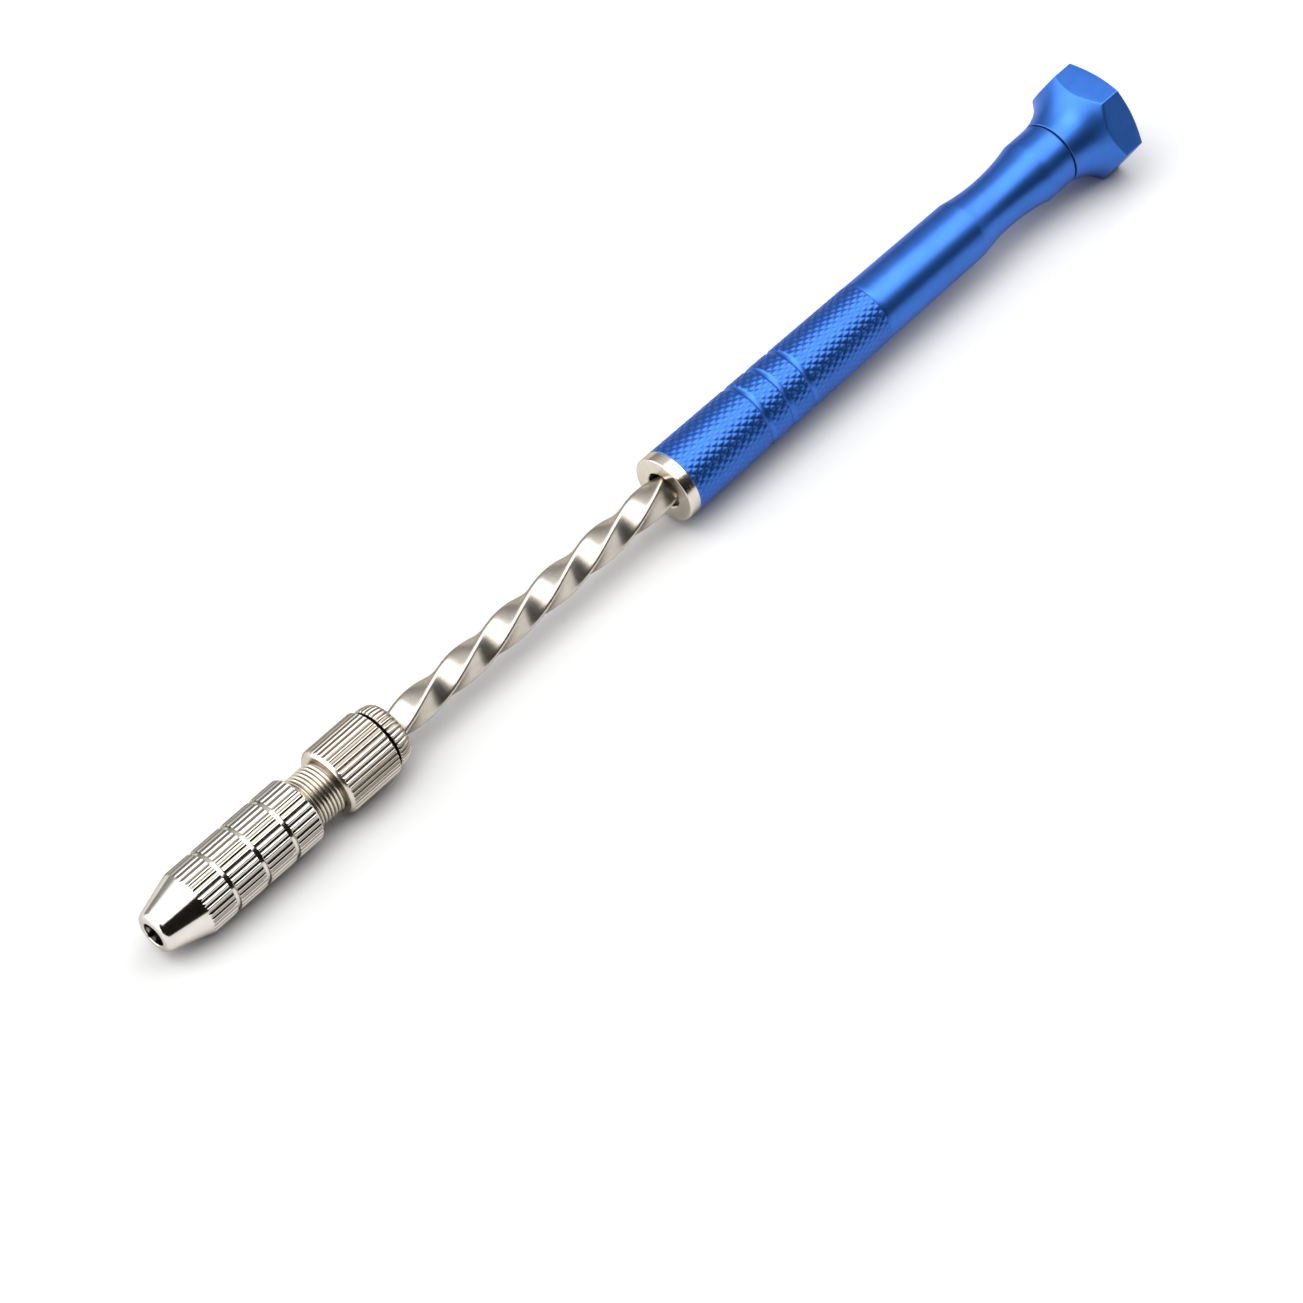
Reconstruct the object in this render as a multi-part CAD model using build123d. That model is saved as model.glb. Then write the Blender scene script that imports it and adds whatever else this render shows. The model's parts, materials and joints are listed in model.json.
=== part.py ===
from build123d import *
import os
from math import cos, pi, radians, sin, sqrt, tan

# Semi-automatic pin vise drill: a sprung push drill with a spiral shaft and a three-jaw chuck.
#
# Pushing the handle forward slides a fixed nut along the twisted shaft, which turns the chuck
# clockwise as seen from the handle. A spring inside the handle pushes the shaft back out.
#
# Frame: origin on the tool's axis at the mouth of the jaws, +X along the axis towards the
# hexagonal head, +Z up with the tool lying on a bench on one flat of that head. Millimetres.

# ---------------------------------------------------------------- driving dimensions
OVERALL_LENGTH = 215.9      # nose to the end of the head, shaft fully out
TRAVEL = 55.0               # stroke of the shaft into the handle

JAW_RECESS = 2.4            # mouth of the jaws behind the nose
GRIP_RADIUS = 1.4           # jaws as stored: open for a 2.8 mm shank
JAW_CLOSING = 1.0           # radial travel of each jaw to fully closed, 0.8 mm
JAW_OPENING = 0.15          # radial travel of each jaw to fully open, 3.1 mm
JAW_COUNT = 3
CONE_ANGLE = 18.4           # half angle of the cone inside the nose, degrees
THREAD_PITCH = 0.7          # of the chuck's thread
THREAD_RADIUS = 4.5
THREAD_DEPTH = 0.4
THREAD_CREST = 0.12         # width of the thread's flat crests
THREAD_SHOWING = 5.8        # length of thread between sleeve and body

SLEEVE_LENGTH = 30.3
SLEEVE_RADIUS = 5.7
SLEEVE_CONE_LENGTH = 7.5    # smooth cone in front of the knurl
SLEEVE_NOSE_RADIUS = 3.43   # where the cone would meet the front face
SLEEVE_NOSE_ROUNDING = 1.3
SLEEVE_RINGS = (12.5, 18.7, 24.8)  # middles of the ring grooves behind the nose
SLEEVE_RING_WIDTH = 0.8
SLEEVE_RING_DEPTH = 0.35
BODY_RADIUS = 5.9
BODY_LENGTH = 10.2          # knurled length behind the thread
REAR_COLLAR_LENGTH = 3.5
REAR_COLLAR_RADIUS = 5.4
REAR_COLLAR_BACK_RADIUS = 4.1
REAR_COLLAR_GROOVE = 0.35   # width of the groove between the body and the collar
REAR_COLLAR_GROOVE_DEPTH = 0.55
REAR_COLLAR_EDGE = 0.1      # bevel of the collar at that groove
REAR_COLLAR_DOME_LENGTH = 1.05     # a point of the dome: in front of the back end
REAR_COLLAR_DOME_DROP = 0.5        # and inside the rim

SHAFT_SIDE = 4.4            # across the flats of the square shaft
SHAFT_CORNERS = 5.7         # across its flattened corners
SHAFT_LEAD = 41.0           # length of one full turn of the left-hand twist
SHAFT_PHASE = 6.5           # turn of the square section at x = 0, degrees
SHAFT_SHOWING = 60.9        # length between the chuck and the ferrule

FERRULE_LENGTH = 2.2        # bright band in front of the blue handle
FERRULE_RADIUS = 5.94
FERRULE_HOLE_RADIUS = 3.2
FERRULE_EDGE = 0.25         # bevel of its front edge
KNURL_LENGTH = 45.4         # knurled length of the handle
KNURL_START_RADIUS = 5.96
KNURL_END_RADIUS = 5.66
KNURL_RINGS = (17.3, 22.2, 27.2)  # middles of the rings through the knurl
KNURL_RING_WIDTH = 1.1
KNURL_RING_DEPTH = 0.3
KNURL_RING_SLOPE = 0.2      # length of each sloped side of a ring
BARE_LENGTH = 23.5          # plain length behind the knurl
BARE_START_RADIUS = 5.58
BARE_END_RADIUS = 5.42
WAIST_LENGTH = 16.5
WAIST_RADIUS = 4.7
WAIST_MIDDLE = 6.9          # where the waist is thinnest, behind its start
NECK_RADIUS = 5.68
BORE_RADIUS = 3.8           # of the handle

HEAD_FLAT = 8.8             # centre of the head to each flat
HEAD_CORNER = HEAD_FLAT / cos(pi / 6)
HEAD_LENGTH = 11.9
HEAD_EDGE_LENGTH = 3.9      # straight length of the head's six corners
HEAD_CHAMFER_LENGTH = 0.6
FLARE_LEAD_IN = 1.5         # the flare starts this far in front of the head

SLIDE_GAP = 0.05            # radial clearance of parts that turn or slide on each other
DRIVE_GAP = 0.12            # clearance between the shaft and the drive nut
FACE_GAP = 0.1              # between faces that turn on each other
FIXED_GAP = 0.01            # between parts that are screwed or pressed together

# ---------------------------------------------------------------- stations along the axis
NOSE_X = -JAW_RECESS
SLEEVE_END = NOSE_X + SLEEVE_LENGTH
BODY_X = SLEEVE_END + THREAD_SHOWING
COLLAR_X = BODY_X + BODY_LENGTH
COLLAR_END = COLLAR_X + REAR_COLLAR_LENGTH
FERRULE_X = COLLAR_END + SHAFT_SHOWING
TUBE_X = FERRULE_X + FERRULE_LENGTH
KNURL_END = TUBE_X + KNURL_LENGTH
WAIST_X = KNURL_END + BARE_LENGTH
WAIST_END = WAIST_X + WAIST_LENGTH
HEAD_END = NOSE_X + OVERALL_LENGTH
HEAD_X = HEAD_END - HEAD_LENGTH
FLARE_X = HEAD_X - FLARE_LEAD_IN
HEAD_EDGE_X = HEAD_END - HEAD_CHAMFER_LENGTH - HEAD_EDGE_LENGTH

# chuck
NOSE_HOLE_RADIUS = 2.05
CONE_X = -0.7               # where the cone inside the nose starts
CHAMBER_RADIUS = 4.1
CHAMBER_X = CONE_X + (CHAMBER_RADIUS - NOSE_HOLE_RADIUS) / tan(radians(CONE_ANGLE))
SLEEVE_THREAD_X = CHAMBER_X + 4.2
STEM_X = SLEEVE_THREAD_X + 3.5
STEM_BORE_RADIUS = 1.7
GUIDE_RADIUS = 3.9
GUIDE_THICKNESS = 1.3
GUIDE_BOSS_RADIUS = 2.6
GUIDE_BOSS_LENGTH = 1.4
GUIDE_X = STEM_X - FACE_GAP - GUIDE_THICKNESS
JAW_END = GUIDE_X - FACE_GAP
JAW_TONGUE_WIDTH = 1.0
JAW_TONGUE_DEPTH = 0.5
JAW_TONGUE_START = 0.9      # out from the edge of the closed jaw
JAW_TONGUE_LENGTH = 1.9
JAW_SPRING_X = JAW_END - 3.6
JAW_SPRING_RADIUS = 0.6
JAW_SPRING_PLACE = 1.85     # of each spring, out from the edge of the closed jaw
JAW_SPRING_SEAT = 0.8       # depth of the blind holes that hold the jaw springs

# shaft and nut
JOURNAL_RADIUS = 2.1
JOURNAL_LENGTH = 9.5
SHAFT_X = COLLAR_END - 2.5
NUT_X = FERRULE_X + 2.5
NUT_LENGTH = 6.0
SPIGOT_END = TUBE_X + 8.5
SPIGOT_RADIUS = 4.6
STOP_X = NUT_X + NUT_LENGTH + 0.2
STOP_LENGTH = 5.0
STOP_RADIUS = 3.6
STOP_END = STOP_X + STOP_LENGTH
TAIL_RADIUS = 2.0
TAIL_END = STOP_END + 3.0
PIN_RADIUS = 0.6

# return spring
WASHER_THICKNESS = 0.6
FOLLOWER_X = STOP_END + 2 * FACE_GAP + WASHER_THICKNESS
FOLLOWER_FLANGE = 1.5
FOLLOWER_LENGTH = 7.0
FOLLOWER_STEM_RADIUS = 2.45
SPRING_X = FOLLOWER_X + FOLLOWER_FLANGE
SPRING_WIRE = 0.3            # radius of the wire
SPRING_RADIUS = 3.05        # axis to the middle of the wire
SPRING_TURNS = 17

# head bearing
PLUG_X = HEAD_X - 8.0
PLUG_RADIUS = 4.4
TUBE_END = HEAD_X - 0.4
PIVOT_RADIUS = 3.0
PIVOT_END = HEAD_X + 8.0
RING_X = PIVOT_END - 2.6
RING_WIDTH = 0.9
RING_OUTER = 3.6
RING_INNER = 2.45


# ---------------------------------------------------------------- helpers
def turned(*corners, radii=0.0):
    """A solid turned about the tool's axis from the (x, radius) corners of its outline."""
    outline = FilletPolyline(*corners, radius=radii, close=True)
    return revolve(make_face(outline), Axis.X)


def rod(x_start, x_end, radius):
    """A plain round bar on the tool's axis."""
    return extrude(Plane.YZ.offset(x_start) * Circle(radius), x_end - x_start)


def cross_pin(x, radius, y_start, y_end):
    """A round pin across the tool, along Y."""
    pin_plane = Plane(origin=(x, y_start, 0), z_dir=(0, 1, 0))
    return extrude(pin_plane * Circle(radius), y_end - y_start)


def twisted_bar(x_start, x_end, side, corners):
    """A square bar with flattened corners and the shaft's left-hand twist."""
    section = Rectangle(side, side) & Rectangle(corners, corners, rotation=45)
    length = x_end - x_start
    right_hand = Solid.extrude_linear_with_rotation(
        section.face(), (0, 0, 0), (0, 0, length), 360 * length / SHAFT_LEAD
    )
    left_hand = right_hand.mirror(Plane.XZ)
    phase = SHAFT_PHASE - 360 * x_start / SHAFT_LEAD
    return Part(left_hand.wrapped).moved(Plane.YZ.offset(x_start).location * Rot(Z=phase))


def coil(start, direction, length, radius, wire, turns):
    """A coil spring of round wire whose ends lie flush with its two seats."""
    rise = length - 2 * wire
    first = Vector(start) + Vector(direction) * wire
    path = Helix(pitch=rise / turns, height=rise, radius=radius, center=first, direction=direction)
    return sweep(Plane(origin=path @ 0, z_dir=path % 0) * Circle(wire), path=path)


def nose_cone_radius(x):
    """Radius of the cone inside the nose, with the sleeve where it is stored."""
    return NOSE_HOLE_RADIUS + (x - CONE_X) * tan(radians(CONE_ANGLE))


# ---------------------------------------------------------------- chuck
def chuck_sleeve():
    """Knurled nose sleeve: its inner cone squeezes the jaws as it screws onto the body."""
    chamfer = 0.5
    outline = [
        (NOSE_X, NOSE_HOLE_RADIUS),
        (NOSE_X, SLEEVE_NOSE_RADIUS),
        (NOSE_X + SLEEVE_CONE_LENGTH, SLEEVE_RADIUS),
    ]
    radii = [0.25, SLEEVE_NOSE_ROUNDING, 0]
    for ring in SLEEVE_RINGS:
        start = NOSE_X + ring - SLEEVE_RING_WIDTH / 2
        end = NOSE_X + ring + SLEEVE_RING_WIDTH / 2
        floor = SLEEVE_RADIUS - SLEEVE_RING_DEPTH
        outline += [(start, SLEEVE_RADIUS), (start, floor), (end, floor), (end, SLEEVE_RADIUS)]
        radii += [0, 0, 0, 0]
    outline += [
        (SLEEVE_END - chamfer, SLEEVE_RADIUS),
        (SLEEVE_END, SLEEVE_RADIUS - chamfer),
        (SLEEVE_END, THREAD_RADIUS + SLIDE_GAP),
        (SLEEVE_THREAD_X, THREAD_RADIUS + SLIDE_GAP),
        (SLEEVE_THREAD_X, CHAMBER_RADIUS),
        (CHAMBER_X, CHAMBER_RADIUS),
        (CONE_X, NOSE_HOLE_RADIUS),
    ]
    radii += [0] * 7
    return turned(*outline, radii=radii)


def jaw_blank():
    """One jaw in its closed place, pointing along +Z, before it is moved out."""
    closed_offset = JAW_CLOSING + SLIDE_GAP
    body_radius = CHAMBER_RADIUS - JAW_OPENING - closed_offset
    shoulder = CONE_X + (body_radius + closed_offset - NOSE_HOLE_RADIUS) / tan(radians(CONE_ANGLE))
    tip_radius = nose_cone_radius(0) - closed_offset
    cone = turned((0, 0), (0, tip_radius), (shoulder, body_radius), (JAW_END, body_radius), (JAW_END, 0))

    reach = 2 * body_radius
    half_width = reach * tan(pi / JAW_COUNT)
    apex = 0.03  # keeps the side faces of closed jaws just apart
    wedge_corners = [(0, apex), (half_width, apex + reach), (-half_width, apex + reach)]
    wedge = extrude(Plane.YZ * make_face(Polyline(*wedge_corners, close=True)), JAW_END)
    jaw = cone & wedge

    tongue_plane = Plane.YZ.offset(JAW_END)
    tongue_box = Rectangle(JAW_TONGUE_WIDTH, JAW_TONGUE_LENGTH, align=(Align.CENTER, Align.MIN))
    jaw += extrude(tongue_plane * Pos(0, JAW_TONGUE_START) * tongue_box, JAW_TONGUE_DEPTH)

    for side in (-1, 1):
        jaw -= jaw_spring_seat(side)
    grip = Pos(0, 0, -JAW_CLOSING) * rod(-1, JAW_END + 1, GRIP_RADIUS)
    return jaw - grip


def jaw_spring_seat(side):
    """Blind hole for a jaw spring in one side face of the closed jaw."""
    face_angle = side * pi / JAW_COUNT
    along_face = Vector(0, sin(face_angle), cos(face_angle))
    into_jaw = Vector(0, -side * cos(face_angle), side * sin(face_angle))
    mouth = Vector(JAW_SPRING_X, 0, 0) + along_face * JAW_SPRING_PLACE - into_jaw * 0.2
    seat_plane = Plane(origin=mouth, z_dir=into_jaw)
    return extrude(seat_plane * Circle(JAW_SPRING_RADIUS + 0.12), JAW_SPRING_SEAT + 0.2)


def jaw(number):
    """Jaw 1 points along +Z; the others follow at equal turns about the axis."""
    opened = Pos(0, 0, JAW_CLOSING) * jaw_blank()
    return Rot(X=360 * (number - 1) / JAW_COUNT) * opened


def jaw_springs():
    """Three small coil springs that push the jaws apart."""
    half_gap = JAW_CLOSING * sin(pi / JAW_COUNT)
    half_length = half_gap + JAW_SPRING_SEAT - 0.1
    radius_out = JAW_SPRING_PLACE + JAW_CLOSING * cos(pi / JAW_COUNT)
    spring = coil(
        (JAW_SPRING_X, -half_length, radius_out), (0, 1, 0), 2 * half_length,
        JAW_SPRING_RADIUS - 0.15, 0.12, 5,
    )
    first_gap = 180 / JAW_COUNT
    return [Rot(X=first_gap + 360 * k / JAW_COUNT) * spring for k in range(JAW_COUNT)]


def jaw_guide():
    """Disc between the jaws and the body; three radial grooves keep the jaws evenly spaced."""
    disc = rod(GUIDE_X, GUIDE_X + GUIDE_THICKNESS, GUIDE_RADIUS)
    disc += rod(GUIDE_X, GUIDE_X + GUIDE_THICKNESS + GUIDE_BOSS_LENGTH, GUIDE_BOSS_RADIUS)
    disc -= rod(GUIDE_X - 1, STEM_X + 5, STEM_BORE_RADIUS)
    groove = Box(
        2 * (JAW_TONGUE_DEPTH + 0.1), JAW_TONGUE_WIDTH + 2 * SLIDE_GAP, 2 * GUIDE_RADIUS,
        align=(Align.CENTER, Align.CENTER, Align.MIN),
    )
    for number in range(JAW_COUNT):
        disc -= Rot(X=360 * number / JAW_COUNT) * Pos(GUIDE_X, 0, 0) * groove
    return disc


def chuck_body():
    """Knurled body with the threaded stem that carries the sleeve."""
    root = THREAD_RADIUS - THREAD_DEPTH
    thread_end = BODY_X - 1.0
    seat_end = STEM_X + GUIDE_BOSS_LENGTH + 0.2
    outline = [(STEM_X, GUIDE_BOSS_RADIUS + SLIDE_GAP), (STEM_X, root)]
    x = STEM_X + 0.3
    while x + THREAD_PITCH < thread_end:
        outline += [
            (x, root),
            (x + THREAD_PITCH / 2 - THREAD_CREST / 2, THREAD_RADIUS),
            (x + THREAD_PITCH / 2 + THREAD_CREST / 2, THREAD_RADIUS),
        ]
        x += THREAD_PITCH
    outline += [
        (x, root),
        (BODY_X, root),
        (BODY_X, BODY_RADIUS - 0.6),
        (BODY_X + 0.4, BODY_RADIUS),
        (COLLAR_X - 0.15, BODY_RADIUS),
        (COLLAR_X, BODY_RADIUS - 0.2),
        (COLLAR_X, JOURNAL_RADIUS),
        (COLLAR_X - JOURNAL_LENGTH, JOURNAL_RADIUS),
        (COLLAR_X - JOURNAL_LENGTH, STEM_BORE_RADIUS),
        (seat_end, STEM_BORE_RADIUS),
        (seat_end, GUIDE_BOSS_RADIUS + SLIDE_GAP),
    ]
    return turned(*outline)


def chuck_rear_collar():
    """Domed knurled nut that locks the shaft in the chuck body."""
    hole = SHAFT_CORNERS / 2 + SLIDE_GAP
    shoulder_x = COLLAR_X + REAR_COLLAR_GROOVE
    groove_floor = REAR_COLLAR_RADIUS - REAR_COLLAR_GROOVE_DEPTH
    dome_x = shoulder_x + 0.4
    outline = Polyline(
        (dome_x, REAR_COLLAR_RADIUS),
        (shoulder_x, REAR_COLLAR_RADIUS - REAR_COLLAR_EDGE),
        (shoulder_x, groove_floor),
        (COLLAR_X, groove_floor),
        (COLLAR_X, JOURNAL_RADIUS),
        (SHAFT_X, JOURNAL_RADIUS),
        (SHAFT_X, hole),
        (COLLAR_END, hole),
        (COLLAR_END, REAR_COLLAR_BACK_RADIUS),
    )
    dome = ThreePointArc(
        (COLLAR_END, REAR_COLLAR_BACK_RADIUS),
        (COLLAR_END - REAR_COLLAR_DOME_LENGTH, REAR_COLLAR_RADIUS - REAR_COLLAR_DOME_DROP),
        (dome_x, REAR_COLLAR_RADIUS),
    )
    return revolve(make_face(outline + dome), Axis.X)


# ---------------------------------------------------------------- shaft
def twisted_shaft():
    """Twisted square shaft with a round journal at each end."""
    shaft = twisted_bar(SHAFT_X, STOP_X, SHAFT_SIDE, SHAFT_CORNERS)
    shaft += rod(COLLAR_X - JOURNAL_LENGTH, SHAFT_X, JOURNAL_RADIUS)
    shaft += rod(STOP_X, TAIL_END, TAIL_RADIUS)
    return shaft - cross_pin(STOP_X + STOP_LENGTH / 2, PIN_RADIUS, -STOP_RADIUS, STOP_RADIUS)


def stop_collar():
    """Collar pinned to the shaft's tail; it meets the drive nut when the shaft is fully out."""
    collar = rod(STOP_X, STOP_END, STOP_RADIUS) - rod(STOP_X, STOP_END, TAIL_RADIUS)
    return collar - cross_pin(STOP_X + STOP_LENGTH / 2, PIN_RADIUS, -2 * STOP_RADIUS, 2 * STOP_RADIUS)


def stop_collar_pin():
    """Cross pin through the stop collar and the shaft."""
    length = STOP_RADIUS - 0.1
    return cross_pin(STOP_X + STOP_LENGTH / 2, PIN_RADIUS, -length, length)


def thrust_washer():
    """Washer that takes the rubbing between the turning shaft and the spring."""
    start = STOP_END + FACE_GAP
    bore = TAIL_RADIUS + SLIDE_GAP
    return rod(start, start + WASHER_THICKNESS, STOP_RADIUS) - rod(start, start + 1, bore)


def spring_follower():
    """Cup on the shaft's tail that centres the spring and doesn't turn."""
    follower = turned(
        (FOLLOWER_X, 0),
        (FOLLOWER_X, STOP_RADIUS),
        (SPRING_X, STOP_RADIUS),
        (SPRING_X, FOLLOWER_STEM_RADIUS),
        (FOLLOWER_X + FOLLOWER_LENGTH - 0.8, FOLLOWER_STEM_RADIUS),
        (FOLLOWER_X + FOLLOWER_LENGTH, FOLLOWER_STEM_RADIUS - 0.8),
        (FOLLOWER_X + FOLLOWER_LENGTH, 0),
    )
    return follower - rod(FOLLOWER_X, TAIL_END + 0.4, TAIL_RADIUS + SLIDE_GAP)


def return_spring():
    """Long spring between the follower and the plug at the top of the handle."""
    return coil((SPRING_X, 0, 0), (1, 0, 0), PLUG_X - SPRING_X, SPRING_RADIUS, SPRING_WIRE, SPRING_TURNS)


# ---------------------------------------------------------------- handle
def drive_nut():
    """Nut whose twisted hole makes the shaft turn as it slides."""
    blank = rod(NUT_X, NUT_X + NUT_LENGTH, BORE_RADIUS - 2 * FIXED_GAP)
    hole = twisted_bar(
        NUT_X - 0.5, NUT_X + NUT_LENGTH + 0.5,
        SHAFT_SIDE + 2 * DRIVE_GAP, SHAFT_CORNERS + 2 * DRIVE_GAP,
    )
    pin_hole = cross_pin(NUT_X + NUT_LENGTH / 2, PIN_RADIUS, BORE_RADIUS - 0.6, BORE_RADIUS + 1)
    return blank - hole - pin_hole


def drive_nut_pin():
    """Short pin that stops the drive nut turning in the ferrule."""
    return cross_pin(NUT_X + NUT_LENGTH / 2, PIN_RADIUS, BORE_RADIUS - 0.55, SPIGOT_RADIUS - 0.05)


def end_ferrule():
    """Nickel ferrule that closes the front of the handle and holds the drive nut."""
    ferrule = turned(
        (FERRULE_X, FERRULE_HOLE_RADIUS),
        (FERRULE_X, FERRULE_RADIUS - FERRULE_EDGE),
        (FERRULE_X + FERRULE_EDGE, FERRULE_RADIUS),
        (TUBE_X, FERRULE_RADIUS),
        (TUBE_X, SPIGOT_RADIUS),
        (SPIGOT_END, SPIGOT_RADIUS),
        (SPIGOT_END, BORE_RADIUS),
        (NUT_X, BORE_RADIUS),
        (NUT_X, FERRULE_HOLE_RADIUS),
    )
    return ferrule - cross_pin(NUT_X + NUT_LENGTH / 2, PIN_RADIUS, 3, 6)


def handle_tube():
    """Blue handle: knurled front with three shallow rings, plain middle, waist and neck."""
    taper = (KNURL_START_RADIUS - KNURL_END_RADIUS) / KNURL_LENGTH
    outer = [(TUBE_X, SPIGOT_RADIUS + FIXED_GAP), (TUBE_X, KNURL_START_RADIUS)]
    for ring in KNURL_RINGS:
        radius = KNURL_START_RADIUS - taper * ring
        floor = radius - KNURL_RING_DEPTH
        start = TUBE_X + ring - KNURL_RING_WIDTH / 2
        end = TUBE_X + ring + KNURL_RING_WIDTH / 2
        outer += [
            (start, radius),
            (start + KNURL_RING_SLOPE, floor),
            (end - KNURL_RING_SLOPE, floor),
            (end, radius),
        ]
    outer += [
        (KNURL_END, KNURL_END_RADIUS),
        (KNURL_END + 0.1, BARE_START_RADIUS),
        (WAIST_X, BARE_END_RADIUS),
    ]
    waist = ThreePointArc(
        (WAIST_X, BARE_END_RADIUS), (WAIST_X + WAIST_MIDDLE, WAIST_RADIUS), (WAIST_END, NECK_RADIUS)
    )
    neck = Line((WAIST_END, NECK_RADIUS), (FLARE_X, NECK_RADIUS))
    inner = [
        (TUBE_END, flare_radius(TUBE_END)),
        (TUBE_END, PLUG_RADIUS + FIXED_GAP),
        (PLUG_X, PLUG_RADIUS + FIXED_GAP),
        (PLUG_X, BORE_RADIUS),
        (SPIGOT_END, BORE_RADIUS),
        (SPIGOT_END, SPIGOT_RADIUS + FIXED_GAP),
        (TUBE_X, SPIGOT_RADIUS + FIXED_GAP),
    ]
    outline = Polyline(*outer) + waist + neck + flare(FLARE_X, TUBE_END) + Polyline(*inner)
    return revolve(make_face(outline), Axis.X)


def end_plug():
    """Steel plug in the top of the handle: spring seat inside, pivot for the head outside."""
    groove_start = RING_X - 0.05
    groove_end = RING_X + RING_WIDTH + 0.05
    groove_radius = RING_INNER - 0.05
    return turned(
        (PLUG_X, 0),
        (PLUG_X, PLUG_RADIUS),
        (TUBE_END, PLUG_RADIUS),
        (TUBE_END, PIVOT_RADIUS),
        (groove_start, PIVOT_RADIUS),
        (groove_start, groove_radius),
        (groove_end, groove_radius),
        (groove_end, PIVOT_RADIUS),
        (PIVOT_END - 0.3, PIVOT_RADIUS),
        (PIVOT_END, PIVOT_RADIUS - 0.3),
        (PIVOT_END, 0),
    )


# ---------------------------------------------------------------- head
def flare_radius(x):
    """Radius, at a station, of the hollow flare from the neck out to the head's corners."""
    run = HEAD_EDGE_X - FLARE_X
    rise = HEAD_CORNER - NECK_RADIUS
    arc_radius = (run * run + rise * rise) / (2 * rise)
    return NECK_RADIUS + arc_radius - sqrt(arc_radius * arc_radius - (x - FLARE_X) ** 2)


def flare(x_start, x_end):
    """The flare's arc between two stations."""
    stations = (x_start, (x_start + x_end) / 2, x_end)
    return ThreePointArc(*[(x, flare_radius(x)) for x in stations])


def head_washer():
    """Thin washer between the handle and the turning head."""
    washer = rod(TUBE_END, HEAD_X - FACE_GAP, NECK_RADIUS - 0.2)
    return washer - rod(TUBE_END, HEAD_X, PIVOT_RADIUS + 2 * FIXED_GAP)


def retaining_ring():
    """Split spring ring on the pivot that keeps the head from pulling off."""
    ring = rod(RING_X, RING_X + RING_WIDTH, RING_OUTER) - rod(RING_X, RING_X + RING_WIDTH, RING_INNER)
    slot = Pos(RING_X + RING_WIDTH / 2, 0, 3) * Box(2, 1.6, 4)
    return ring - slot


def hex_head():
    """Blue hexagonal head, turned with a hollow flare and a shallow chamfer."""
    bore = PIVOT_RADIUS + SLIDE_GAP
    ring_room = 0.12
    outline = Polyline(
        (HEAD_EDGE_X, HEAD_CORNER),
        (HEAD_END - HEAD_CHAMFER_LENGTH, HEAD_CORNER),
        (HEAD_END, HEAD_FLAT - 0.1),
        (HEAD_END, 0),
        (PIVOT_END + 0.4, 0),
        (PIVOT_END + 0.4, bore),
        (RING_X + RING_WIDTH + ring_room, bore),
        (RING_X + RING_WIDTH + ring_room, RING_OUTER + ring_room),
        (RING_X - ring_room, RING_OUTER + ring_room),
        (RING_X - ring_room, bore),
        (HEAD_X, bore),
        (HEAD_X, flare_radius(HEAD_X)),
    )
    turned_head = revolve(make_face(flare(HEAD_X, HEAD_EDGE_X) + outline), Axis.X)
    hexagon = RegularPolygon(HEAD_FLAT, 6, major_radius=False, rotation=0)
    prism = extrude(Plane.YZ.offset(HEAD_X - 1) * hexagon, HEAD_LENGTH + 2)
    return turned_head & prism


# ---------------------------------------------------------------- write the parts
def build():
    """Every piece of the drill, by the name of its node."""
    pieces = {
        "chuck_sleeve": chuck_sleeve(),
        "jaw_guide": jaw_guide(),
        "jaw_springs": Compound(children=jaw_springs()),
        "chuck_body": chuck_body(),
        "chuck_rear_collar": chuck_rear_collar(),
        "twisted_shaft": twisted_shaft(),
        "stop_collar": stop_collar(),
        "stop_collar_pin": stop_collar_pin(),
        "thrust_washer": thrust_washer(),
        "spring_follower": spring_follower(),
        "return_spring": return_spring(),
        "drive_nut": drive_nut(),
        "drive_nut_pin": drive_nut_pin(),
        "end_ferrule": end_ferrule(),
        "handle_tube": handle_tube(),
        "end_plug": end_plug(),
        "head_washer": head_washer(),
        "retaining_ring": retaining_ring(),
        "hex_head": hex_head(),
    }
    for number in range(1, JAW_COUNT + 1):
        pieces[f"jaw_{number}"] = jaw(number)
    return pieces


os.makedirs("parts", exist_ok=True)
for node, piece in build().items():
    export_step(piece, f"parts/{node}.step")
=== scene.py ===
import json
import math

import bmesh
import bpy
import numpy as np
from mathutils import Matrix, Vector


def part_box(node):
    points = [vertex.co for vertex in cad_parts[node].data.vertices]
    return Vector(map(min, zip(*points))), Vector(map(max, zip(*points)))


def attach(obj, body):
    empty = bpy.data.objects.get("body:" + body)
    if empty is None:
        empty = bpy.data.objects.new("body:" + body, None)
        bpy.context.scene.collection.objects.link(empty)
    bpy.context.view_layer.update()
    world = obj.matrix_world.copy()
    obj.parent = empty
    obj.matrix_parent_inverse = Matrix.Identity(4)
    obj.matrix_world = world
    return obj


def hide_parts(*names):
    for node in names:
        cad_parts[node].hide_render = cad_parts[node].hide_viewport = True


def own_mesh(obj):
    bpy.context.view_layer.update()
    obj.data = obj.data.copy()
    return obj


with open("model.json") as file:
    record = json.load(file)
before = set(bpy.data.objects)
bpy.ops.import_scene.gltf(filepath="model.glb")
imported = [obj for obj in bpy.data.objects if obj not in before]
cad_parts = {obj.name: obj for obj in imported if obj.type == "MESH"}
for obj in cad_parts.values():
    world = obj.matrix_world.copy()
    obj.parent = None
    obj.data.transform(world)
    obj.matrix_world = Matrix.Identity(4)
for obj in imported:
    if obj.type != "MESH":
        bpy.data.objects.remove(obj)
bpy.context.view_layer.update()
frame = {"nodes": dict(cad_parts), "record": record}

# Lengths are in millimetres and MM turns them into Blender's metres.
MM = 0.001
MICRON = 0.001 * MM

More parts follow.
